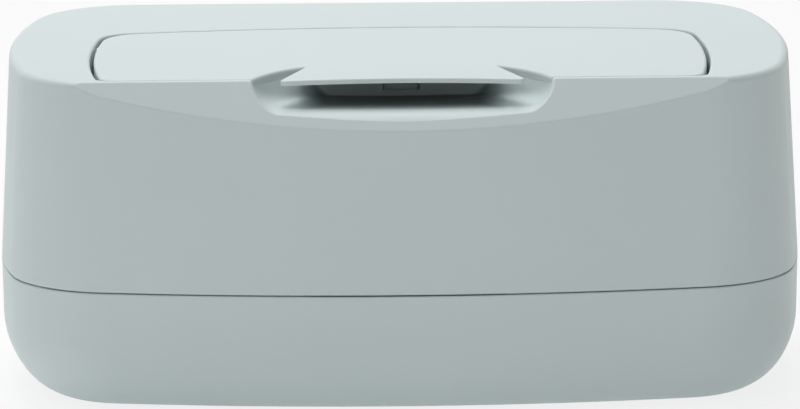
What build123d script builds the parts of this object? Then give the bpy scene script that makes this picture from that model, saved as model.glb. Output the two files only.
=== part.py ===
"""Baby wipes box: tray, lift-off cover, flush flip lid with a finger tab, and a loose weighted plate.

Millimetres. +X is to the right, +Y to the rear, +Z up. The origin is the middle of the plan, on the surface that the
feet stand on.
"""

import os
from math import cos, hypot, radians, sin, sqrt, tan

from build123d import *

# Plan of the box: four sides made of arcs that run into each other
WIDTH = 250.0
DEPTH = 150.0
FRONT_BOW_R = 520.0
SIDE_BOW_R = 187.0
CORNER_R = 36.0

# Heights, drafts and roundings of the outside
FOOT_PROUD = 1.0
BASE_H = 38.7
BASE_DRAFT = 1.0
BASE_EDGE_R = 22.0
SEAM_GAP = 0.45
COVER_H = 64.4
COVER_DRAFT = 3.0
TOP_TILT = 0.9
TOP_EDGE_R = 2.2
FACET_TIP_IN = 23.6
FACET_LEAN = 42.0
CREASE_R = 1.0
SEAM_EDGE = 0.3

# Walls and the joint between the tray and the cover
COVER_WALL = 2.4
BASE_WALL = 3.5
BASE_FLOOR = 2.6
CORE_DRAFT = 0.5
LIP_WALL = 1.5
SPIGOT_CLEAR = 0.4
SPIGOT_H = 6.0
BASE_SEAL_H = 2.0
BASE_SEAL_DEPTH = 0.7
BASE_SEAL_PROUD = 0.1
BASE_SEAL_RISE = 2.2

# Feet and the ribs that the plate rests on
FOOT_R = 7.5
FOOT_RECESS = 1.2
FOOT_IN = 47.0
FOOT_Y = 36.0
FOOT_FIT = 0.1
FOOT_EDGE = 0.4
RIB_H = 2.0
RIB_WALL = 1.8
RIB_L = 60.0
RIB_X = 55.0
RIB_Y = 33.0

# Lid pocket in the top of the cover
POCKET_SIDE_IN = 29.0
POCKET_SIDE_R = 220.0
POCKET_SIDE_Y = -20.0
POCKET_REAR_Y = 27.3
POCKET_REAR_R = 520.0
POCKET_CORNER_R = 11.5
POCKET_FRONT_R = 4.5
STRIP_W = 2.0
DECK_DROP = 9.6
DECK_WALL = 2.2
POCKET_EDGE_R = 0.8

# Lid
LID_GAP = 1.2
LID_FRONT_GAP = 0.5
LID_CORNER_R = 13.5
LID_T = 2.4
LID_EDGE_R = 0.9
SKIRT_H = 2.6
SKIRT_WALL = 1.4
SKIRT_NOTCH_CLEAR = 5.0

# Finger tab
TAB_ROOT_W = 58.6
TAB_TIP_W = 76.0
TAB_REACH = 1.5
TAB_HOLLOW = 3.5
TAB_ROOT_IN = 4.0
TAB_TIP_R = 1.6
TAB_T = 1.5
TAB_EDGE_R = 0.5

# Finger scoop: a U-shaped trough that narrows and flattens towards its back wall and rolls over into the facet
SCOOP_W = 91.5
SCOOP_BACK_W = 59.0
SCOOP_BELLY = 2.6
SCOOP_BACK_Y = -38.3
SCOOP_DEPTH = 8.8
SCOOP_LEAN = 12.0
SCOOP_BACK_LEAN = 50.0
SCOOP_CORNER_R = 8.0
SCOOP_BACK_CORNER_R = 4.0
SCOOP_DISH_R = 900.0
SCOOP_SECTIONS = 4
SCOOP_RIM_R = 1.2
SCOOP_WALL = 2.0
ROLL_R = 10.0
ROLL_TURN = 40.0
ROLL_PAST = 0.5

# Latch: a window in the scoop's back wall and the hook behind it
WINDOW_W = 11.4
WINDOW_H = 3.5
WINDOW_SILL = 1.6
WINDOW_RELIEF = 1.2
HOOK_SIDE_CLEAR = 0.5
HOOK_T = 1.8
HOOK_TIP_CLEAR = 0.4
HOOK_NOSE_H = 1.6
HOOK_NOSE_DROP = 0.6
HOOK_CLEAR = 0.5
HOOK_DECK_CLEAR = 1.0
HOOK_LEAN = 5.0

# Hinge
HINGE_Y = 6.0
HINGE_DROP = 3.4
PIN_R = 1.5
PIN_RUN = 0.06
PIN_CHAMFER = 0.3
KNUCKLE_R = 3.0
KNUCKLE_L = 8.0
BOSS_R = 4.0
BOSS_L = 3.6
BOSS_END = 1.2
WELL_CLEAR = 1.2
WELL_FRONT_CLEAR = 4.0

# Dispensing opening, its collar and the lid's seal
MOUTH_W = 140.0
MOUTH_D = 26.0
MOUTH_Y = -15.5
MOUTH_R = 12.0
COLLAR_WALL = 1.6
COLLAR_H = 3.0
SEAL_INNER = 1.0
SEAL_OUTER = 2.6
SEAL_T = 2.0
SEAL_EDGE = 0.5
SEAL_GAP = 0.3
SEAL_FIT = 0.05
LINER_WALL = 1.2
LINER_WALL_H = 1.4
LINER_FRAME = 2.4

# Weighted plate
PLATE_MARGIN = 32.0
PLATE_D = 96.0
PLATE_R = 20.0
PLATE_WALL = 1.8
PLATE_EDGE = 1.2
PLATE_FLOOR = 1.6
PLATE_FIT = 0.15
SLOT_W = 112.0
SLOT_D = 26.0
SLOT_FUNNEL = 1.6
BAR_L = 150.0
BAR_D = 22.0
BAR_T = 4.0
BAR_FIT = 0.25
CRADLE_WALL = 1.2
CRADLE_H = 2.4

# Places worked out from the sizes above
BASE_Z = FOOT_PROUD
SEAM_Z = BASE_Z + BASE_H
CREASE_Z = SEAM_Z + COVER_H
DECK_Z = CREASE_Z - DECK_DROP
SCOOP_Z = CREASE_Z - SCOOP_DEPTH
POCKET_W = WIDTH - 2 * POCKET_SIDE_IN
FOOT_X = WIDTH / 2 - FOOT_IN
SPIGOT_IN = LIP_WALL + SPIGOT_CLEAR
FLOOR_Z = BASE_Z + BASE_FLOOR
PLATE_Z = FLOOR_Z + RIB_H
PLATE_W = WIDTH - 2 * PLATE_MARGIN
PLATE_H = PLATE_FLOOR + BAR_T + BAR_FIT + PLATE_WALL
COLLAR_Z = DECK_Z + COLLAR_H
SEAL_Z = COLLAR_Z + SEAL_GAP
LINER_Z = SEAL_Z + SEAL_T
WELL_FRONT_Y = HINGE_Y - WELL_FRONT_CLEAR
BIG = 2 * WIDTH


def meet(c0, r0, c1, r1, side):
    """Point at r0 from c0 and r1 from c1, on the side of the line that side gives."""
    dx, dy = c1[0] - c0[0], c1[1] - c0[1]
    d = hypot(dx, dy)
    a = (r0 * r0 - r1 * r1 + d * d) / (2 * d)
    h = sqrt(r0 * r0 - a * a) * side
    return (c0[0] + (a * dx - h * dy) / d, c0[1] + (a * dy + h * dx) / d)


def touch(c, r, toward):
    """Point of the circle that lies in the direction from its centre to another one."""
    dx, dy = toward[0] - c[0], toward[1] - c[1]
    d = hypot(dx, dy)
    return (c[0] + r * dx / d, c[1] + r * dy / d)


def arc(c, r, p, q):
    """Short arc about c from p to q."""
    mx, my = (p[0] + q[0]) / 2, (p[1] + q[1]) / 2
    return ThreePointArc(p, touch(c, r, (mx, my)), q)


def flip(p):
    return (-p[0], p[1])


def front_y(x, inset):
    """Front of the box's plan at a place across it, on its bow or on a corner."""
    bow_y = FRONT_BOW_R - DEPTH / 2
    corner = meet((0.0, bow_y), FRONT_BOW_R - CORNER_R, (WIDTH / 2 - SIDE_BOW_R, 0.0), SIDE_BOW_R - CORNER_R, 1)
    if x < touch((0.0, bow_y), FRONT_BOW_R, corner)[0]:
        return bow_y - sqrt((FRONT_BOW_R - inset) ** 2 - x**2)
    return corner[1] - sqrt((CORNER_R - inset) ** 2 - (x - corner[0]) ** 2)


# The crease crosses the top from one tip of the facet to the other
CREASE_Y = front_y(WIDTH / 2 - FACET_TIP_IN, COVER_H * tan(radians(COVER_DRAFT)))
POCKET_FRONT_Y = CREASE_Y + STRIP_W


def top_z(y):
    """Height of the sloped top over the plan."""
    return CREASE_Z + (y - CREASE_Y) * tan(radians(TOP_TILT))


HINGE_Z = top_z(HINGE_Y) - HINGE_DROP
WELL_Z = HINGE_Z - hypot(POCKET_REAR_Y - LID_GAP - HINGE_Y, HINGE_DROP) - WELL_CLEAR

# The scoop's floor starts to roll over where its arc reaches the facet at the right slope
ROLL_RUN = ROLL_R * sin(radians(ROLL_TURN))
ROLL_DROP = ROLL_R * (1 - cos(radians(ROLL_TURN)))
ROLL_Y = CREASE_Y - (SCOOP_DEPTH + ROLL_DROP) * tan(radians(FACET_LEAN)) + ROLL_RUN


def box_plan(inset=0.0):
    """Plan of the box, moved inward: bowed front, bowed sides, straight rear and four round corners."""
    front_c = (0.0, FRONT_BOW_R - DEPTH / 2)
    side_c = (WIDTH / 2 - SIDE_BOW_R, 0.0)
    fore_c = meet(front_c, FRONT_BOW_R - CORNER_R, side_c, SIDE_BOW_R - CORNER_R, 1)
    aft_y = DEPTH / 2 - CORNER_R
    aft_c = (side_c[0] + sqrt((SIDE_BOW_R - CORNER_R) ** 2 - aft_y**2), aft_y)
    front_r, side_r, corner_r = FRONT_BOW_R - inset, SIDE_BOW_R - inset, CORNER_R - inset
    a = touch(front_c, front_r, fore_c)
    b = touch(side_c, side_r, fore_c)
    c = touch(side_c, side_r, aft_c)
    d = (aft_c[0], aft_y + corner_r)
    right = [arc(fore_c, corner_r, a, b), arc(side_c, side_r, b, c), arc(aft_c, corner_r, c, d)]
    left = [mirror(edge, Plane.YZ) for edge in right]
    front = arc(front_c, front_r, flip(a), a)
    return make_face([front, *right, Line(d, flip(d)), *left])


def lid_plan(gap, front_gap, corner_r):
    """Plan of the lid pocket, moved inward: bowed sides and rear, straight front behind the crease."""
    side_c = (POCKET_W / 2 - POCKET_SIDE_R, POCKET_SIDE_Y)
    rear_c = (0.0, POCKET_REAR_Y - POCKET_REAR_R)
    side_r, rear_r = POCKET_SIDE_R - gap, POCKET_REAR_R - gap
    front_y = POCKET_FRONT_Y + front_gap
    front_r = POCKET_FRONT_R
    fore_y = front_y + front_r
    fore_c = (side_c[0] + sqrt((side_r - front_r) ** 2 - (fore_y - side_c[1]) ** 2), fore_y)
    aft_c = meet(side_c, side_r - corner_r, rear_c, rear_r - corner_r, 1)
    a = (fore_c[0], front_y)
    b = touch(side_c, side_r, fore_c)
    c = touch(side_c, side_r, aft_c)
    d = touch(rear_c, rear_r, aft_c)
    right = [arc(fore_c, front_r, a, b), arc(side_c, side_r, b, c), arc(aft_c, corner_r, c, d)]
    left = [mirror(edge, Plane.YZ) for edge in right]
    return make_face([Line(flip(a), a), *right, arc(rear_c, rear_r, flip(d), d), *left])


def prism(face, z0, z1):
    """Upright solid over a flat outline."""
    return extrude(Pos(0, 0, z0) * face, amount=z1 - z0, dir=(0, 0, 1))


def drafted(inset, z0, z1, draft):
    """Solid over the plan of the box whose sides lean in as it rises, or out where z1 is lower."""
    low = Pos(0, 0, z0) * box_plan(inset)
    high = Pos(0, 0, z1) * box_plan(inset + abs(z1 - z0) * tan(radians(draft)))
    return loft([low, high], ruled=True)


def above_top(drop=0.0):
    """Everything over the sloped top, or over a plane that lies lower by drop."""
    lean = radians(TOP_TILT)
    plane = Plane(origin=(0, CREASE_Y, CREASE_Z), x_dir=(1, 0, 0), z_dir=(0, -sin(lean), cos(lean)))
    return plane.offset(-drop) * Box(BIG, BIG, BIG, align=(Align.CENTER, Align.CENTER, Align.MIN))


def before_facet(inset=0.0):
    """Everything in front of the leaning facet, or of a plane inside it."""
    lean = radians(FACET_LEAN)
    plane = Plane(origin=(0, CREASE_Y, CREASE_Z), x_dir=(1, 0, 0), z_dir=(0, -cos(lean), sin(lean)))
    return plane.offset(-inset) * Box(BIG, BIG, BIG, align=(Align.CENTER, Align.CENTER, Align.MIN))


def slab(face, drop, thick):
    """Plate over an outline that follows the sloped top, from drop under it and thick deep."""
    solid = prism(face, CREASE_Z - 2 * DECK_DROP, CREASE_Z + 2 * DECK_DROP)
    return solid & above_top(drop + thick) - above_top(drop)


def ring(outer, inner, z0, z1):
    return prism(outer, z0, z1) - prism(inner, z0, z1)


def mouth_plan(grow=0.0):
    """Dispensing opening in the deck: a rectangle with large corners."""
    return Pos(0, MOUTH_Y) * RectangleRounded(MOUTH_W + 2 * grow, MOUTH_D + 2 * grow, MOUTH_R + grow)


def pocket_half(y):
    """Half width of the lid pocket at a place along its bowed sides."""
    return POCKET_W / 2 - POCKET_SIDE_R + sqrt(POCKET_SIDE_R**2 - (y - POCKET_SIDE_Y) ** 2)


def pocket_plan(grow=0.0):
    return lid_plan(-grow, -grow, POCKET_CORNER_R + grow)


def behind(y):
    """Everything to the rear of a place."""
    return Pos(0, y, 0) * Box(BIG, BIG, BIG, align=(Align.CENTER, Align.MIN, Align.CENTER))


def across(points, half):
    """Bar along X with an outline drawn in Y and Z."""
    outline = Plane.YZ * make_face(Polyline(*points, close=True))
    return extrude(outline, amount=half, both=True)


def both_sides(solid):
    return solid + mirror(solid, Plane.YZ)


def notch_half(t, grow):
    """Half width of the notch in the lid; its sides bulge a little between front and back."""
    narrowing = (SCOOP_W - SCOOP_BACK_W) / 2
    return SCOOP_W / 2 - narrowing * t + 4 * SCOOP_BELLY * t * (1 - t) + grow


def notch_plan():
    """Plan of the notch in the lid, over the scoop."""
    mid = (notch_half(0.5, 0.0), (POCKET_FRONT_Y + SCOOP_BACK_Y) / 2)
    front, back = (SCOOP_W / 2, POCKET_FRONT_Y), (SCOOP_BACK_W / 2, SCOOP_BACK_Y)
    right = ThreePointArc(front, mid, back)
    return make_face([right, Line(back, flip(back)), mirror(right, Plane.YZ), Line(flip(front), front)])


def scoop_section(y, grow, shoulders):
    """Cross-section of the scoop: leaning sides, round corners, dished floor, and upright sides beside the lid."""
    t = min(1.0, max(0.0, (y - POCKET_FRONT_Y) / (SCOOP_BACK_Y - POCKET_FRONT_Y)))
    half = notch_half(t, grow)
    lean = tan(radians(SCOOP_LEAN + (SCOOP_BACK_LEAN - SCOOP_LEAN) * t))
    corner_r = SCOOP_CORNER_R + (SCOOP_BACK_CORNER_R - SCOOP_CORNER_R) * t + grow
    shoulder_z = CREASE_Z - LID_T * min(1.0, t * (SCOOP_SECTIONS - 1))
    floor_z = SCOOP_Z - grow
    foot_z = floor_z + (half - (shoulder_z - floor_z) * lean) ** 2 / (2 * SCOOP_DISH_R)
    foot = half - (shoulder_z - foot_z) * lean
    high_z = top_z(DEPTH / 2)
    if shoulders:
        right = [(half, high_z), (half, shoulder_z), (foot, foot_z)]
    else:
        right = [(half + (high_z - shoulder_z) * lean, high_z), (foot, foot_z)]
    sides = Polyline(*[flip(p) for p in reversed(right)], *right)
    floor = ThreePointArc((foot, foot_z), (0, floor_z), (-foot, foot_z))
    face = make_face([*sides.edges(), floor])
    face = fillet(face.vertices().sort_by(Axis.Y)[:2], corner_r)
    return Plane(origin=(0, y, 0), x_dir=(1, 0, 0), z_dir=(0, -1, 0)) * face


def scoop_roll(run, grow):
    """Section of the scoop where it opens out in an arc, run in front of the place where the arc starts."""
    return scoop_section(ROLL_Y - run, grow + ROLL_R - sqrt(ROLL_R**2 - run**2), False)


def scoop_front(grow=0.0):
    """Trough of the finger scoop through the facet, opening out as it rolls over."""
    trough = extrude(scoop_section(POCKET_FRONT_Y, grow, False), amount=POCKET_FRONT_Y - ROLL_Y, dir=(0, -1, 0))
    step = (ROLL_RUN + ROLL_PAST) / (SCOOP_SECTIONS - 1)
    return trough + loft([scoop_roll(step * i, grow) for i in range(SCOOP_SECTIONS)])


def scoop_rear(grow=0.0):
    """Finger scoop behind the crease, narrower and shallower at the sides towards its back wall."""
    step = (SCOOP_BACK_Y + grow - POCKET_FRONT_Y) / (SCOOP_SECTIONS - 1)
    return loft([scoop_section(POCKET_FRONT_Y + step * i, grow, True) for i in range(SCOOP_SECTIONS)])


def reach_x(edge):
    return max(abs(vertex.X) for vertex in edge.vertices())


def upper_face(solid):
    """Highest flat face that looks upward."""
    flat = solid.faces().filter_by(GeomType.PLANE)
    return flat.filter_by(lambda face: face.normal_at().Z > 0.9).sort_by(Axis.Z)[-1]


def soft_top(solid, radius):
    """Plate with the edges of its upper face rounded."""
    return fillet(upper_face(solid).edges(), radius)


def facet_edges(body):
    """Edges of the flat facet at the top of the front."""
    facing = sin(radians(FACET_LEAN))
    return body.faces().filter_by(lambda face: abs(face.normal_at().Z - facing) < 1e-3).edges()


def lid_layer():
    """Recess in the sloped top that the lid panel lies in."""
    return prism(pocket_plan(), DECK_Z, top_z(DEPTH / 2)) & above_top(LID_T)


def pocket_rim(body):
    """Edges of the lid recess in the top, but for its front edge on the strip behind the crease."""
    half = POCKET_W / 2 + POCKET_EDGE_R
    rear_y = POCKET_REAR_Y + POCKET_EDGE_R
    edges = upper_face(body).edges().filter_by(lambda edge: reach_x(edge) < half and edge.center().Y < rear_y)
    return edges.filter_by(lambda edge: edge.center().Y > POCKET_FRONT_Y + POCKET_EDGE_R)


def cover_outside():
    """Outer form of the cover: drafted sides, sloped top with soft edges, lid recess, crescent facet and scoop."""
    body = drafted(0.0, SEAM_Z + SEAM_GAP, top_z(DEPTH), COVER_DRAFT) - above_top()
    body = fillet(body.faces().sort_by(Axis.Z)[-1].edges(), TOP_EDGE_R)
    body = chamfer(body.faces().sort_by(Axis.Z)[0].edges(), SEAM_EDGE)
    body = body - before_facet() - scoop_front()
    rim_x = SCOOP_W / 2 + 2 * SCOOP_RIM_R
    body = fillet(facet_edges(body).filter_by(lambda edge: reach_x(edge) < rim_x), SCOOP_RIM_R)
    body = fillet(facet_edges(body).filter_by(lambda edge: reach_x(edge) > rim_x), CREASE_R)
    body -= lid_layer()
    return fillet(pocket_rim(body), POCKET_EDGE_R) - scoop_rear()


def cover_hollow():
    """Room under the cover, round the walls of the pocket, the hinge well, the scoop and the hinge bosses."""
    low_z = SEAM_Z + SPIGOT_H
    wall = COVER_WALL + (SPIGOT_H - SEAM_GAP) * tan(radians(COVER_DRAFT))
    room = drafted(wall, low_z, top_z(DEPTH / 2), COVER_DRAFT) - above_top(COVER_WALL)
    room -= before_facet(COVER_WALL)
    outer = pocket_plan(DECK_WALL)
    room -= prism(outer, DECK_Z - DECK_WALL, top_z(DEPTH / 2))
    room -= prism(outer, WELL_Z - DECK_WALL, DECK_Z) & behind(WELL_FRONT_Y - DECK_WALL)
    room = room - scoop_front(SCOOP_WALL) - scoop_rear(SCOOP_WALL)
    length = DECK_WALL + BOSS_L
    boss = Pos(pocket_half(HINGE_Y), HINGE_Y, HINGE_Z) * Rot(0, 90, 0) * Cylinder(
        BOSS_R, length, align=(Align.CENTER, Align.CENTER, Align.MIN)
    )
    return room - both_sides(boss)


def cover_pocket():
    """Room under the lid panel, and the hinge well."""
    high_z = top_z(DEPTH / 2)
    pocket = prism(pocket_plan(), DECK_Z, high_z) - scoop_front(SCOOP_WALL) - scoop_rear(SCOOP_WALL)
    return pocket + (prism(pocket_plan(), WELL_Z, DECK_Z) & behind(WELL_FRONT_Y))


def latch_window():
    """Window through the scoop's back wall, with a thinner bar over it for the hook to pass behind."""
    sill_z = SCOOP_Z + WINDOW_SILL
    window = Pos(0, SCOOP_BACK_Y, sill_z) * Box(
        WINDOW_W, 3 * SCOOP_WALL, WINDOW_H, align=(Align.CENTER, Align.CENTER, Align.MIN)
    )
    relief = Pos(0, SCOOP_BACK_Y + SCOOP_WALL - WINDOW_RELIEF, sill_z) * Box(
        WINDOW_W, 2 * WINDOW_RELIEF, DECK_DROP, align=(Align.CENTER, Align.MIN, Align.MIN)
    )
    return window + relief


def pin_form(radius):
    """Right hinge pin, from the inner end of the knuckle to the bottom of the boss."""
    start = pocket_half(HINGE_Y) - LID_GAP - KNUCKLE_L
    end = pocket_half(HINGE_Y) + DECK_WALL + BOSS_L - BOSS_END
    return Pos(start, HINGE_Y, HINGE_Z) * Rot(0, 90, 0) * Cylinder(
        radius, end - start, align=(Align.CENTER, Align.CENTER, Align.MIN)
    )


def cover_shell():
    shell = cover_outside() - cover_hollow()
    shell -= prism(box_plan(LIP_WALL), SEAM_Z, SEAM_Z + SPIGOT_H)
    shell -= cover_pocket()
    shell += ring(mouth_plan(COLLAR_WALL), mouth_plan(), DECK_Z - DECK_WALL / 2, COLLAR_Z)
    shell -= prism(mouth_plan(), SEAM_Z, CREASE_Z)
    shell = shell - latch_window() - both_sides(pin_form(PIN_R))
    return shell


def tab_plan():
    """Finger tab: widens from the notch in the lid to a slightly hollow tip over the scoop."""
    tip_y = CREASE_Y - TAB_REACH
    left = [(-TAB_TIP_W / 2, tip_y), (-TAB_ROOT_W / 2, SCOOP_BACK_Y), (-TAB_ROOT_W / 2, SCOOP_BACK_Y + TAB_ROOT_IN)]
    sides = Polyline(*left, *[flip(p) for p in reversed(left)])
    tip = ThreePointArc(flip(left[0]), (0, tip_y + TAB_HOLLOW), left[0])
    face = make_face([*sides.edges(), tip])
    return fillet(face.vertices().sort_by(Axis.Y)[:2], TAB_TIP_R)


def knuckles():
    """Hinge knuckles under the lid's rear corners, cut to the plan of the lid."""
    start = pocket_half(HINGE_Y) - LID_GAP - KNUCKLE_L
    length = KNUCKLE_L + 2 * LID_GAP
    barrel = Pos(start, HINGE_Y, HINGE_Z) * Rot(0, 90, 0) * Cylinder(
        KNUCKLE_R, length, align=(Align.CENTER, Align.CENTER, Align.MIN)
    )
    web = Pos(start, HINGE_Y, HINGE_Z) * Box(
        length, 2 * KNUCKLE_R, HINGE_DROP, align=(Align.MIN, Align.CENTER, Align.MIN)
    )
    room = prism(lid_plan(LID_GAP, LID_FRONT_GAP, LID_CORNER_R), WELL_Z, top_z(DEPTH / 2))
    return both_sides((barrel + web) & room) - above_top(LID_T / 2)


def lid_panel():
    """Flush lid with a notch and finger tab at the front, a skirt underneath and a knuckle at each end of the hinge."""
    outer = lid_plan(LID_GAP, LID_FRONT_GAP, LID_CORNER_R)
    inner = lid_plan(LID_GAP + SKIRT_WALL, LID_FRONT_GAP + SKIRT_WALL, LID_CORNER_R - SKIRT_WALL)
    notch = prism(notch_plan(), CREASE_Z - DECK_DROP, CREASE_Z + DECK_DROP)
    panel = soft_top(slab(outer, 0, LID_T) - notch, LID_EDGE_R)
    panel += soft_top(slab(tab_plan(), 0, TAB_T), TAB_EDGE_R)
    skirt = slab(outer, LID_T / 2, SKIRT_H + LID_T / 2) - slab(inner, 0, SKIRT_H + 2 * LID_T)
    skirt -= Pos(0, POCKET_FRONT_Y, CREASE_Z) * Box(
        SCOOP_W + 2 * SKIRT_NOTCH_CLEAR, SCOOP_W / 2, DECK_DROP * 2
    )
    panel += skirt - behind(HINGE_Y + KNUCKLE_R)
    panel += knuckles()
    return panel - both_sides(pin_form(PIN_R + PIN_RUN))


def latch_hook():
    """Tongue with a small nose, behind the scoop's back wall."""
    face_y = SCOOP_BACK_Y + SCOOP_WALL + HOOK_CLEAR
    tip_y = SCOOP_BACK_Y + SCOOP_WALL - WINDOW_RELIEF + HOOK_TIP_CLEAR
    high_z, low_z = CREASE_Z, DECK_Z + HOOK_DECK_CLEAR
    nose_z = SCOOP_Z + WINDOW_SILL + WINDOW_H - HOOK_NOSE_DROP
    lean = tan(radians(HOOK_LEAN))
    points = [
        (face_y, high_z),
        (face_y, nose_z),
        (tip_y, nose_z),
        (tip_y, nose_z - HOOK_NOSE_H / 2),
        (face_y, nose_z - HOOK_NOSE_H),
        (face_y + (nose_z - HOOK_NOSE_H - low_z) * lean, low_z),
        (face_y + HOOK_T, low_z),
        (face_y + HOOK_T, high_z),
    ]
    return across(points, WINDOW_W / 2 - HOOK_SIDE_CLEAR)


def lid_liner():
    """Inner plate of the lid: closes the opening, holds the seal between two low walls and carries the hook."""
    held = SEAL_OUTER + SEAL_FIT
    inside = -SEAL_INNER - SEAL_FIT
    high_z = CREASE_Z
    liner = prism(mouth_plan(held + LINER_WALL + LINER_FRAME), LINER_Z, high_z)
    liner += ring(mouth_plan(held + LINER_WALL), mouth_plan(held), LINER_Z - LINER_WALL_H, LINER_Z)
    liner += ring(mouth_plan(inside), mouth_plan(inside - LINER_WALL), LINER_Z - LINER_WALL_H, LINER_Z)
    return liner + latch_hook() - above_top(LID_T)


def lid_seal():
    """Soft ring of the lid over the collar of the dispensing opening."""
    seal = ring(mouth_plan(SEAL_OUTER), mouth_plan(-SEAL_INNER), SEAL_Z, LINER_Z)
    return chamfer(seal.faces().sort_by(Axis.Z)[0].edges(), SEAL_EDGE)


def hinge_pin():
    pin = pin_form(PIN_R)
    return chamfer(pin.edges().filter_by(GeomType.CIRCLE), PIN_CHAMFER)


def base_tray():
    """Tray with a broad round bottom edge, a spigot that the cover stands on, foot recesses and plate ribs."""
    tray = drafted(0.0, SEAM_Z, BASE_Z, BASE_DRAFT)
    tray = fillet(tray.faces().sort_by(Axis.Z)[0].edges(), BASE_EDGE_R)
    tray = chamfer(tray.faces().sort_by(Axis.Z)[-1].edges(), SEAM_EDGE)
    top = SEAM_Z + SPIGOT_H
    tray += prism(box_plan(SPIGOT_IN), SEAM_Z - SPIGOT_H, top)
    core = drafted(BASE_WALL, top, FLOOR_Z, CORE_DRAFT)
    tray -= fillet(core.faces().sort_by(Axis.Z)[0].edges(), BASE_EDGE_R - BASE_WALL)
    low_z = SEAM_Z + BASE_SEAL_RISE
    tray -= ring(box_plan(), box_plan(SPIGOT_IN + BASE_SEAL_DEPTH), low_z, low_z + BASE_SEAL_H)
    rib = Box(RIB_L, RIB_WALL, 2 * RIB_H, align=(Align.CENTER, Align.CENTER, Align.CENTER))
    for x in (-RIB_X, RIB_X):
        for y in (-RIB_Y, RIB_Y):
            tray += Pos(x, y, FLOOR_Z) * rib
    for x, y in foot_places():
        tray -= Pos(x, y, 0) * Cylinder(FOOT_R, BASE_Z + FOOT_RECESS, align=(Align.CENTER, Align.CENTER, Align.MIN))
    return tray


def base_seal():
    """Soft ring in the groove round the spigot."""
    low_z = SEAM_Z + BASE_SEAL_RISE
    outer = box_plan(SPIGOT_IN - BASE_SEAL_PROUD)
    return ring(outer, box_plan(SPIGOT_IN + BASE_SEAL_DEPTH), low_z, low_z + BASE_SEAL_H)


def foot_places():
    return [(x, y) for y in (-FOOT_Y, FOOT_Y) for x in (-FOOT_X, FOOT_X)]


def foot():
    pad = Cylinder(FOOT_R - FOOT_FIT, FOOT_PROUD + FOOT_RECESS, align=(Align.CENTER, Align.CENTER, Align.MIN))
    return chamfer(pad.faces().sort_by(Axis.Z)[0].edges(), FOOT_EDGE)


def plate_plan(inset=0.0):
    return RectangleRounded(PLATE_W - 2 * inset, PLATE_D - 2 * inset, PLATE_R - inset)


def slot_plan(grow=0.0):
    """Slot of the plate with round ends."""
    return SlotOverall(SLOT_W + 2 * grow, SLOT_D + 2 * grow)


def plate_top():
    """Upper half of the weighted plate: a shallow cap with a slot whose rim leads the wipe through."""
    high_z = PLATE_Z + PLATE_H
    cap = prism(plate_plan(), PLATE_Z, high_z)
    cap = chamfer(cap.faces().sort_by(Axis.Z)[-1].edges(), PLATE_EDGE)
    cap -= ring(plate_plan(PLATE_WALL), slot_plan(PLATE_WALL), PLATE_Z, high_z - PLATE_WALL)
    cap -= prism(slot_plan(), PLATE_Z, high_z)
    lip = cap.faces().sort_by(Axis.Z)[-1].edges().filter_by(lambda edge: reach_x(edge) < SLOT_W / 2 + SLOT_FUNNEL)
    return chamfer(lip, SLOT_FUNNEL)


def bar_y():
    """Middle of the room between the slot's wall and the long side of the plate."""
    return (SLOT_D / 2 + PLATE_D / 2) / 2


def plate_bottom():
    """Lower half of the weighted plate, pushed into the cap, with a low cradle for each bar."""
    floor_z = PLATE_Z + PLATE_FLOOR
    snug = PLATE_WALL + PLATE_FIT
    floor = ring(plate_plan(snug), slot_plan(snug), PLATE_Z, floor_z)
    room = Rectangle(BAR_L + 2 * BAR_FIT, BAR_D + 2 * BAR_FIT)
    outer = Rectangle(BAR_L + 2 * (BAR_FIT + CRADLE_WALL), BAR_D + 2 * (BAR_FIT + CRADLE_WALL))
    cradle = ring(outer, room, floor_z, floor_z + CRADLE_H)
    return floor + Pos(0, -bar_y(), 0) * cradle + Pos(0, bar_y(), 0) * cradle


def weight_bar(y):
    return Pos(0, y, PLATE_Z + PLATE_FLOOR) * Box(BAR_L, BAR_D, BAR_T, align=(Align.CENTER, Align.CENTER, Align.MIN))


def parts():
    """Every separate piece in its place."""
    pieces = {
        "base_tray": base_tray(),
        "base_seal": base_seal(),
        "cover_shell": cover_shell(),
        "hinge_pin_right": hinge_pin(),
        "hinge_pin_left": mirror(hinge_pin(), Plane.YZ),
        "lid_panel": lid_panel(),
        "lid_liner": lid_liner(),
        "lid_seal": lid_seal(),
        "plate_top": plate_top(),
        "plate_bottom": plate_bottom(),
        "plate_weight_front": weight_bar(-bar_y()),
        "plate_weight_rear": weight_bar(bar_y()),
    }
    names = ("foot_front_left", "foot_front_right", "foot_rear_left", "foot_rear_right")
    for name, (x, y) in zip(names, foot_places()):
        pieces[name] = Pos(x, y, 0) * foot()
    return pieces


def main():
    os.makedirs("parts", exist_ok=True)
    for name, solid in parts().items():
        export_step(solid, f"parts/{name}.step")


if __name__ == "__main__":
    main()
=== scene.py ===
"""Looks of the baby wipes box: moulded plastic shells, soft rings and feet, steel inside, a plain studio."""

import math

import bpy
from mathutils import Matrix, Vector

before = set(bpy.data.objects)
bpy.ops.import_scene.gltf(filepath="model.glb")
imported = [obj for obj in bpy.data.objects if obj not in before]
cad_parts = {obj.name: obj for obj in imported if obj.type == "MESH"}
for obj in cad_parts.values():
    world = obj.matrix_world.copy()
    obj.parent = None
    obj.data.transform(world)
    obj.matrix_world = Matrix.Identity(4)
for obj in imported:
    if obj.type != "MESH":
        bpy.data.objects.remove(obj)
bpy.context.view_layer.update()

MM = 0.001
WHITE = (1.0, 1.0, 1.0, 1.0)

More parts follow.
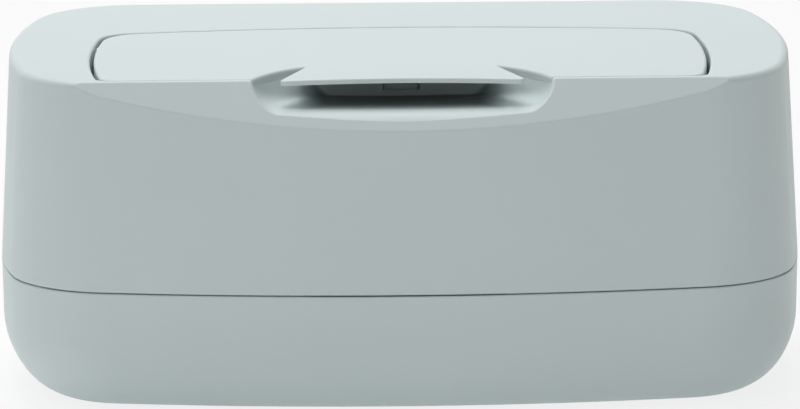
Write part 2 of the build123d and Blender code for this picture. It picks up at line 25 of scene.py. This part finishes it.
# Camera, measured from the photograph: a long lens a little above the box, almost straight on
PHOTO_W = 800
PHOTO_MIDDLE = (400.0, 204.5)
LENS_PX = 6400.9
LENS_CENTRE = (399.31, 204.96)
SENSOR_MM = 36.0
CAMERA_AZIMUTH = -1.13
CAMERA_ELEVATION = 11.31
CAMERA_ROLL = -0.33
CAMERA_TARGET = (0.0, 0.0, 53.2 * MM)
CAMERA_DISTANCE = 2014.8 * MM
CAMERA_SEES_TO = 50.0

# Studio: the room's light at the horizon and at the ceiling, the way it leans, the table top's own glow, its
# half width and how much of the shadow it shows, and the places of the lamps
HORIZON_LIGHT = 0.02
CEILING_LIGHT = 0.55
LIGHT_LEAN = (-0.4, 0.0, 1.0)
TABLE_LIGHT = 0.13
TABLE_HALF = 4.0
SHADOW_SHARE = 0.2
LAMPS_AIM_AT = (0.0, 0.0, 0.05)
OVERHEAD_AT = (-0.15, 0.45, 1.2)
FRONT_AT = (-0.25, -1.6, 1.0)

# Painted shade in the finger scoop: half its width, where it ends at the rear, how soft these ends are, how
# far it reaches for the tab above it, and how open the space is where the painted shade is full and where it
# ends
SHADE_HALF = 24 * MM
SIDE_FADE = 8 * MM
SHADE_REAR = -40 * MM
REAR_FADE = 3 * MM
SHADE_REACH = 20 * MM
SHADE_SHUT = 0.3
SHADE_OPEN = 0.92

# Moulded polypropylene: clouds where the melt flowed, patches of sheen, and the mould's grain with its depth
FLOW_CLOUD = 60 * MM
SHEEN_PATCH = 9 * MM
MOULD_GRAIN = 0.4 * MM
GRAIN_DEPTH = 0.02 * MM
SHEEN_SPREAD = 0.03
OUTSIDE_ROUGH = 0.46
INSIDE_ROUGH = 0.52

# Other finishes: the size of each pattern, the depth of its relief, and its scale along a pin or bar
DUST_SPECK = 1.5 * MM
DUST_DEPTH = 0.05 * MM
WIRE_LINE = 0.15 * MM
WIRE_DEPTH = 0.01 * MM
WIRE_SCALE_ALONG = 0.02
ZINC_PATCH = 5 * MM
ROLL_MARK = 0.5 * MM
ROLL_DEPTH = 0.02 * MM
ROLL_SCALE_ALONG = 0.03
PAPER_FIBRE = 2 * MM

# Sockets of a mix node for colours, which are numbered because their names repeat
FIRST_COLOUR = 6
SECOND_COLOUR = 7
MIXED_COLOUR = 2


def linear(code):
    """sRGB hex colour as linear red, green, blue and a full alpha."""
    parts = [int(code[i : i + 2], 16) / 255 for i in (1, 3, 5)]
    return tuple(c / 12.92 if c <= 0.04045 else ((c + 0.055) / 1.055) ** 2.4 for c in parts) + (1.0,)


def add(tree, kind, inputs=None, **settings):
    """Adds a node with its settings. Each input is a plain value or the output socket that feeds it."""
    made = tree.nodes.new(kind)
    for name, value in settings.items():
        setattr(made, name, value)
    for key, value in (inputs or {}).items():
        if isinstance(value, bpy.types.NodeSocket):
            tree.links.new(value, made.inputs[key])
        else:
            made.inputs[key].default_value = value
    return made


def empty_material(name):
    """New material with its node tree, and the place on the piece that its patterns follow."""
    material = bpy.data.materials.new(name)
    material.use_nodes = True
    tree = material.node_tree
    tree.nodes.clear()
    place = add(tree, "ShaderNodeTexCoord").outputs["Object"]
    return material, tree, place


def scale_of(cell):
    """Texture scale at which one cell of a pattern has this size."""
    return 1.0 / cell


def painted_scoop_shade(tree, place, skin_colour, painted_shade_colour):
    """Colour darkened to a painted shade in the middle of the finger scoop, as far as an ambient occlusion
    node finds the tab over it keeping the light out. The dark tone is painted shade, not a colour of the
    plastic."""
    openness = add(tree, "ShaderNodeAmbientOcclusion", {"Distance": SHADE_REACH}, samples=8)
    lit = add(
        tree,
        "ShaderNodeMapRange",
        {"Value": openness.outputs["AO"], "From Min": SHADE_SHUT, "From Max": SHADE_OPEN},
    )
    spot = add(tree, "ShaderNodeSeparateXYZ", {"Vector": place})
    across = add(tree, "ShaderNodeMath", {0: spot.outputs["X"]}, operation="ABSOLUTE")
    beside = add(
        tree,
        "ShaderNodeMapRange",
        {"Value": across.outputs[0], "From Min": SHADE_HALF, "From Max": SHADE_HALF + SIDE_FADE},
    )
    behind = add(
        tree,
        "ShaderNodeMapRange",
        {"Value": spot.outputs["Y"], "From Min": SHADE_REAR, "From Max": SHADE_REAR + REAR_FADE},
    )
    outside = add(
        tree,
        "ShaderNodeMath",
        {0: beside.outputs["Result"], 1: behind.outputs["Result"]},
        operation="MAXIMUM",
    )
    shown = add(
        tree,
        "ShaderNodeMath",
        {0: lit.outputs["Result"], 1: outside.outputs[0]},
        operation="MAXIMUM",
    )
    colour = add(
        tree,
        "ShaderNodeMix",
        {"Factor": shown.outputs[0], FIRST_COLOUR: linear(painted_shade_colour), SECOND_COLOUR: skin_colour},
        data_type="RGBA",
    )
    return colour.outputs[MIXED_COLOUR]


def moulded_polypropylene(name, pale, deep, rough, painted_shade_colour=None):
    """Polypropylene from a finely spark-eroded mould: a soft satin skin, a grain that only softens the
    highlight, and a very faint cloudiness where the melt flowed. The grain is 0.1 mm on the real box, too
    fine to show, and is drawn at 0.4 mm."""
    material, tree, place = empty_material(name)
    cloud = add(tree, "ShaderNodeTexNoise", {"Vector": place, "Scale": scale_of(FLOW_CLOUD), "Detail": 2.0})
    mixed = add(
        tree,
        "ShaderNodeMix",
        {"Factor": cloud.outputs["Fac"], FIRST_COLOUR: linear(deep), SECOND_COLOUR: linear(pale)},
        data_type="RGBA",
    )
    colour = mixed.outputs[MIXED_COLOUR]
    # Painted shade: where a painted shade colour is given, the finger scoop under the tab is darkened in the
    # colour itself
    if painted_shade_colour:
        colour = painted_scoop_shade(tree, place, colour, painted_shade_colour)
    grain = add(tree, "ShaderNodeTexNoise", {"Vector": place, "Scale": scale_of(MOULD_GRAIN), "Detail": 3.0})
    patch = add(tree, "ShaderNodeTexNoise", {"Vector": place, "Scale": scale_of(SHEEN_PATCH), "Detail": 2.0})
    sheen = add(
        tree,
        "ShaderNodeMapRange",
        {"Value": patch.outputs["Fac"], "To Min": rough - SHEEN_SPREAD, "To Max": rough + SHEEN_SPREAD},
    )
    relief = add(
        tree,
        "ShaderNodeBump",
        {"Height": grain.outputs["Fac"], "Strength": 0.25, "Distance": GRAIN_DEPTH},
    )
    skin = add(
        tree,
        "ShaderNodeBsdfPrincipled",
        {
            "Base Color": colour,
            "Roughness": sheen.outputs["Result"],
            "IOR": 1.49,
            "Subsurface Weight": 0.06,
            "Subsurface Radius": (1.2, 1.3, 1.2),
            "Subsurface Scale": 0.6 * MM,
            "Normal": relief.outputs["Normal"],
        },
    )
    add(tree, "ShaderNodeOutputMaterial", {"Surface": skin.outputs["BSDF"]})
    return material


def moulded_silicone(name, pale, deep):
    """Silicone rubber from a polished mould: waxy, slightly see-through, with a bloom of fine dust."""
    material, tree, place = empty_material(name)
    dust = add(
        tree,
        "ShaderNodeTexNoise",
        {"Vector": place, "Scale": scale_of(DUST_SPECK), "Detail": 5.0, "Roughness": 0.6},
    )
    colour = add(
        tree,
        "ShaderNodeMix",
        {"Factor": dust.outputs["Fac"], FIRST_COLOUR: linear(deep), SECOND_COLOUR: linear(pale)},
        data_type="RGBA",
    )
    bloom = add(tree, "ShaderNodeMapRange", {"Value": dust.outputs["Fac"], "To Min": 0.48, "To Max": 0.68})
    relief = add(
        tree,
        "ShaderNodeBump",
        {"Height": dust.outputs["Fac"], "Strength": 0.2, "Distance": DUST_DEPTH},
    )
    skin = add(
        tree,
        "ShaderNodeBsdfPrincipled",
        {
            "Base Color": colour.outputs[MIXED_COLOUR],
            "Roughness": bloom.outputs["Result"],
            "IOR": 1.41,
            "Subsurface Weight": 0.3,
            "Subsurface Radius": (1.5, 1.6, 1.6),
            "Subsurface Scale": 1.0 * MM,
            "Normal": relief.outputs["Normal"],
        },
    )
    add(tree, "ShaderNodeOutputMaterial", {"Surface": skin.outputs["BSDF"]})
    return material


def drawn_stainless_steel(name):
    """Stainless wire drawn through a die: bright, with fine lines along the pin."""
    material, tree, place = empty_material(name)
    along = add(tree, "ShaderNodeMapping", {"Vector": place, "Scale": (WIRE_SCALE_ALONG, 1.0, 1.0)})
    lines = add(
        tree,
        "ShaderNodeTexNoise",
        {"Vector": along.outputs["Vector"], "Scale": scale_of(WIRE_LINE), "Detail": 2.0},
    )
    rough = add(tree, "ShaderNodeMapRange", {"Value": lines.outputs["Fac"], "To Min": 0.2, "To Max": 0.34})
    relief = add(
        tree,
        "ShaderNodeBump",
        {"Height": lines.outputs["Fac"], "Strength": 0.3, "Distance": WIRE_DEPTH},
    )
    skin = add(
        tree,
        "ShaderNodeBsdfPrincipled",
        {
            "Base Color": linear("#C9C8C4"),
            "Metallic": 1.0,
            "Roughness": rough.outputs["Result"],
            "Normal": relief.outputs["Normal"],
        },
    )
    add(tree, "ShaderNodeOutputMaterial", {"Surface": skin.outputs["BSDF"]})
    return material


def zinc_plated_steel(name):
    """Flat steel bar with a thin bright zinc coat: grey, softly patched, with rolling marks along it."""
    material, tree, place = empty_material(name)
    patch = add(tree, "ShaderNodeTexVoronoi", {"Vector": place, "Scale": scale_of(ZINC_PATCH)})
    colour = add(
        tree,
        "ShaderNodeMix",
        {
            "Factor": patch.outputs["Distance"],
            FIRST_COLOUR: linear("#A9ADB0"),
            SECOND_COLOUR: linear("#BFC3C5"),
        },
        data_type="RGBA",
    )
    along = add(tree, "ShaderNodeMapping", {"Vector": place, "Scale": (ROLL_SCALE_ALONG, 1.0, 1.0)})
    lines = add(
        tree,
        "ShaderNodeTexNoise",
        {"Vector": along.outputs["Vector"], "Scale": scale_of(ROLL_MARK), "Detail": 3.0},
    )
    rough = add(tree, "ShaderNodeMapRange", {"Value": lines.outputs["Fac"], "To Min": 0.3, "To Max": 0.5})
    relief = add(
        tree,
        "ShaderNodeBump",
        {"Height": lines.outputs["Fac"], "Strength": 0.3, "Distance": ROLL_DEPTH},
    )
    skin = add(
        tree,
        "ShaderNodeBsdfPrincipled",
        {
            "Base Color": colour.outputs[MIXED_COLOUR],
            "Metallic": 1.0,
            "Roughness": rough.outputs["Result"],
            "Normal": relief.outputs["Normal"],
        },
    )
    add(tree, "ShaderNodeOutputMaterial", {"Surface": skin.outputs["BSDF"]})
    return material


def dress(names, material):
    """Gives these pieces the material as their only one."""
    for name in names:
        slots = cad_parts[name].data.materials
        slots.clear()
        slots.append(material)


def seen_directly(tree):
    """1 where the camera looks, straight or by a reflection or refraction, and 0 for all other light."""
    path = add(tree, "ShaderNodeLightPath")
    straight = add(
        tree,
        "ShaderNodeMath",
        {0: path.outputs["Is Camera Ray"], 1: path.outputs["Is Glossy Ray"]},
        operation="MAXIMUM",
    )
    seen = add(
        tree,
        "ShaderNodeMath",
        {0: straight.outputs[0], 1: path.outputs["Is Transmission Ray"]},
        operation="MAXIMUM",
    )
    return seen.outputs[0]


def studio_paper(name):
    """White translucent table top, lit a little from below. The camera sees it close to pure white, with the
    box's soft shadow."""
    material, tree, place = empty_material(name)
    fibre = add(tree, "ShaderNodeTexNoise", {"Vector": place, "Scale": scale_of(PAPER_FIBRE), "Detail": 4.0})
    colour = add(
        tree,
        "ShaderNodeMix",
        {"Factor": fibre.outputs["Fac"], FIRST_COLOUR: linear("#F4F4F4"), SECOND_COLOUR: linear("#F7F7F7")},
        data_type="RGBA",
    )
    surface = add(tree, "ShaderNodeBsdfDiffuse", {"Color": colour.outputs[MIXED_COLOUR]})
    below = add(tree, "ShaderNodeEmission", {"Color": WHITE, "Strength": TABLE_LIGHT})
    paper = add(tree, "ShaderNodeAddShader", {0: surface.outputs[0], 1: below.outputs[0]})
    plain = add(tree, "ShaderNodeEmission", {"Color": WHITE, "Strength": 1.0})
    shadowed = add(tree, "ShaderNodeBsdfDiffuse", {"Color": WHITE})
    pale = add(
        tree,
        "ShaderNodeMixShader",
        {"Fac": SHADOW_SHARE, 1: plain.outputs[0], 2: shadowed.outputs[0]},
    )
    shown = add(
        tree,
        "ShaderNodeMixShader",
        {"Fac": seen_directly(tree), 1: paper.outputs[0], 2: pale.outputs[0]},
    )
    add(tree, "ShaderNodeOutputMaterial", {"Surface": shown.outputs[0]})
    return material


def studio_floor():
    """Square table top that the box stands on."""
    mesh = bpy.data.meshes.new("studio_floor")
    corners = [(x * TABLE_HALF, y * TABLE_HALF, 0) for x, y in ((-1, -1), (1, -1), (1, 1), (-1, 1))]
    mesh.from_pydata(corners, [], [(0, 1, 2, 3)])
    mesh.materials.append(studio_paper("studio_paper"))
    sheet = bpy.data.objects.new("studio_floor", mesh)
    bpy.context.scene.collection.objects.link(sheet)


def studio_world():
    """Soft light that grows from the horizon to the ceiling and is weaker on the right, and white wherever
    the camera or a reflection looks."""
    world = bpy.data.worlds.new("studio_room")
    world.use_nodes = True
    bpy.context.scene.world = world
    tree = world.node_tree
    tree.nodes.clear()
    way = add(tree, "ShaderNodeTexCoord").outputs["Generated"]
    height = add(tree, "ShaderNodeVectorMath", {0: way, 1: LIGHT_LEAN}, operation="DOT_PRODUCT")
    rise = add(
        tree,
        "ShaderNodeMapRange",
        {"Value": height.outputs["Value"], "To Min": HORIZON_LIGHT, "To Max": CEILING_LIGHT},
    )
    strength = add(
        tree,
        "ShaderNodeMapRange",
        {"Value": seen_directly(tree), "To Min": rise.outputs["Result"], "To Max": 1.0},
    )
    room = add(
        tree,
        "ShaderNodeBackground",
        {"Color": WHITE, "Strength": strength.outputs["Result"]},
    )
    add(tree, "ShaderNodeOutputWorld", {"Surface": room.outputs[0]})


def softbox(name, place, width, height, watts):
    """Rectangular soft light that points at the middle of the box."""
    lamp = bpy.data.lights.new(name, "AREA")
    lamp.shape = "RECTANGLE"
    lamp.size = width
    lamp.size_y = height
    lamp.energy = watts
    holder = bpy.data.objects.new(name, lamp)
    bpy.context.scene.collection.objects.link(holder)
    holder.location = place
    holder.rotation_euler = (Vector(LAMPS_AIM_AT) - Vector(place)).to_track_quat("-Z", "Y").to_euler()


def photo_camera():
    """Camera at the photograph's place, with its lens, its small roll and its framing."""
    azimuth = math.radians(CAMERA_AZIMUTH)
    elevation = math.radians(CAMERA_ELEVATION)
    roll = math.radians(CAMERA_ROLL)
    back = Vector(
        (
            math.sin(azimuth) * math.cos(elevation),
            -math.cos(azimuth) * math.cos(elevation),
            math.sin(elevation),
        )
    )
    right = Vector((math.cos(azimuth), math.sin(azimuth), 0.0))
    up = back.cross(right)
    level_x = math.cos(roll) * right + math.sin(roll) * up
    level_y = math.cos(roll) * up - math.sin(roll) * right
    turn = Matrix((level_x, level_y, back)).transposed().to_4x4()
    lens = bpy.data.cameras.new("photo_camera")
    lens.sensor_width = SENSOR_MM
    lens.lens = LENS_PX / PHOTO_W * SENSOR_MM
    lens.shift_x = (PHOTO_MIDDLE[0] - LENS_CENTRE[0]) / PHOTO_W
    lens.shift_y = (LENS_CENTRE[1] - PHOTO_MIDDLE[1]) / PHOTO_W
    lens.clip_end = CAMERA_SEES_TO
    holder = bpy.data.objects.new("photo_camera", lens)
    bpy.context.scene.collection.objects.link(holder)
    holder.matrix_world = Matrix.Translation(Vector(CAMERA_TARGET) + back * CAMERA_DISTANCE) @ turn
    bpy.context.scene.camera = holder


# The cover carries painted shade: a dark grey-green in the finger scoop where the tab shuts out the light
cover = moulded_polypropylene(
    "moulded_polypropylene_cover", "#DAE6E6", "#D5E2E2", OUTSIDE_ROUGH, painted_shade_colour="#565F5C"
)
tray = moulded_polypropylene("moulded_polypropylene_tray", "#DAE6E6", "#D5E2E2", OUTSIDE_ROUGH)
lid = moulded_polypropylene("moulded_polypropylene_lid", "#DCE7E7", "#D7E3E3", OUTSIDE_ROUGH)
inner = moulded_polypropylene("moulded_polypropylene_inner", "#D8E1E0", "#D3DDDC", INSIDE_ROUGH)
seals = moulded_silicone("moulded_silicone_seal", "#C3CBCA", "#B6BFBE")
feet = moulded_silicone("moulded_silicone_foot", "#A3A9A8", "#979E9D")
pins = drawn_stainless_steel("drawn_stainless_steel")
bars = zinc_plated_steel("zinc_plated_steel")

dress(["cover_shell"], cover)
dress(["base_tray"], tray)
dress(["lid_panel"], lid)
dress(["lid_liner", "plate_top", "plate_bottom"], inner)
dress(["base_seal", "lid_seal"], seals)
dress(["foot_front_left", "foot_front_right", "foot_rear_left", "foot_rear_right"], feet)
dress(["hinge_pin_left", "hinge_pin_right"], pins)
dress(["plate_weight_front", "plate_weight_rear"], bars)

studio_floor()
studio_world()
softbox("overhead_softbox", OVERHEAD_AT, width=0.9, height=0.7, watts=8.1)
softbox("front_softbox", FRONT_AT, width=0.8, height=0.8, watts=2.75)
photo_camera()
bpy.context.scene.view_settings.view_transform = "Standard"
